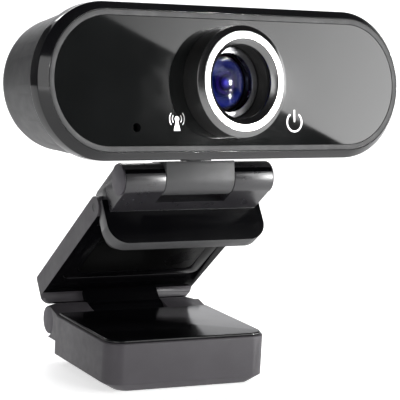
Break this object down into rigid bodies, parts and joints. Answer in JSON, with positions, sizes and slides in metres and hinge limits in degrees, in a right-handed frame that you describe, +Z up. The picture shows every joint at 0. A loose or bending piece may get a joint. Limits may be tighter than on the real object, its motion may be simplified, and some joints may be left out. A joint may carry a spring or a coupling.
{
  "type": "webcam",
  "caption": "Wide pill-shaped desktop webcam with a metal-trimmed lens, on a folding clip stand that hooks over a monitor or stands on a desk.",
  "frame": {"origin": "mouth of the tripod thread, in the middle of the foot's underside", "axes": "+X along the length of the camera head, +Y to the back, +Z up; the lens looks to -Y"},
  "size_m": [0.101, 0.0658, 0.0908],
  "materials": {
    "clip_satin_plastic": "fine satin",
    "foot_gloss_lid": "polished",
    "foot_rubber": "fine grain",
    "plain_steel": "plain",
    "insert_brass": "turned",
    "fastener_steel": "plated",
    "pin_steel": "ground",
    "pin_black": "blackened",
    "hinge_cap": "satin",
    "washer_steel": "plain",
    "arm_inner_gloss": "polished",
    "arm_pad_rubber": "smooth",
    "bracket_satin": "fine grained satin",
    "lip_rubber": "fine grain",
    "neck_satin": "satin",
    "washer_polymer": "plain",
    "shell_gloss_black": "polished",
    "frame_satin_grey": "satin",
    "panel_gloss_black": "polished",
    "shroud_black": "satin",
    "ring_brushed": "turned",
    "baffle_black": "matt",
    "cell_steel": "turned",
    "lens_glass": "coated",
    "lens_glass_rear": "coated",
    "filter_glass": "coated",
    "holder_plastic": "matt",
    "sensor_ceramic": "plain",
    "circuit_board": "solder mask",
    "chip_plastic": "moulded",
    "socket_nylon": "moulded",
    "microphone_can": "plain",
    "led_resin": "clear",
    "light_pipe": "clear",
    "housing_matte": "fine matt",
    "gland_rubber": "smooth"
  },
  "bodies": {
    "foot": {"foot_base": "clip_satin_plastic", "foot_lid": "foot_gloss_lid", "foot_sole": "foot_rubber", "foot_weight": "plain_steel", "tripod_insert": "insert_brass", "foot_screws": "fastener_steel", "foot_pin": "pin_steel", "foot_pin_caps": "hinge_cap", "foot_washers": "washer_steel"},
    "arm": {"arm_shell": "clip_satin_plastic", "arm_cover": "arm_inner_gloss", "arm_pad": "arm_pad_rubber", "arm_screws": "fastener_steel", "elbow_pin": "pin_black"},
    "lip": {"lip_bracket": "bracket_satin", "lip_pad": "lip_rubber", "tilt_pin": "pin_steel", "tilt_pin_caps": "hinge_cap", "tilt_washers": "washer_steel"},
    "neck": {"neck_knuckle": "neck_satin", "swivel_stud": "pin_steel", "swivel_washer": "washer_polymer", "swivel_retainer": "washer_steel"},
    "head": {"front_shell": "shell_gloss_black", "trim_frame": "frame_satin_grey", "front_panel": "panel_gloss_black", "lens_shroud": "shroud_black", "lens_trim_ring": "ring_brushed", "lens_baffle": "baffle_black", "lens_cell": "cell_steel", "front_glass": "lens_glass", "lens_spacer": "baffle_black", "rear_glass": "lens_glass_rear", "ir_filter": "filter_glass", "lens_holder": "holder_plastic", "image_sensor": "sensor_ceramic", "main_board": "circuit_board", "board_screws": "fastener_steel", "processor": "chip_plastic", "cable_socket": "socket_nylon", "microphone": "microphone_can", "status_leds": "led_resin", "light_pipes": "light_pipe", "rear_housing": "housing_matte", "housing_screws": "fastener_steel", "cable_gland": "gland_rubber"}
  },
  "joints": [
    {"name": "foot_hinge", "type": "hinge", "parent": "foot", "child": "arm", "pos_m": [0, 0.0227, 0.0089], "axis": [1, 0, 0], "range_deg": [-95, 25]},
    {"name": "elbow", "type": "hinge", "parent": "arm", "child": "lip", "pos_m": [0, -0.00415, 0.04162], "axis": [-1, 0, 0], "range_deg": [-42, 12]},
    {"name": "tilt", "type": "hinge", "parent": "lip", "child": "neck", "pos_m": [0, -0.01359, 0.04952], "axis": [1, 0, 0], "range_deg": [-20, 35]},
    {"name": "swivel", "type": "hinge", "parent": "neck", "child": "head", "pos_m": [0, -0.01478, 0.0497], "axis": [0, 0.1461, 0.9893], "continuous": true}
  ]
}
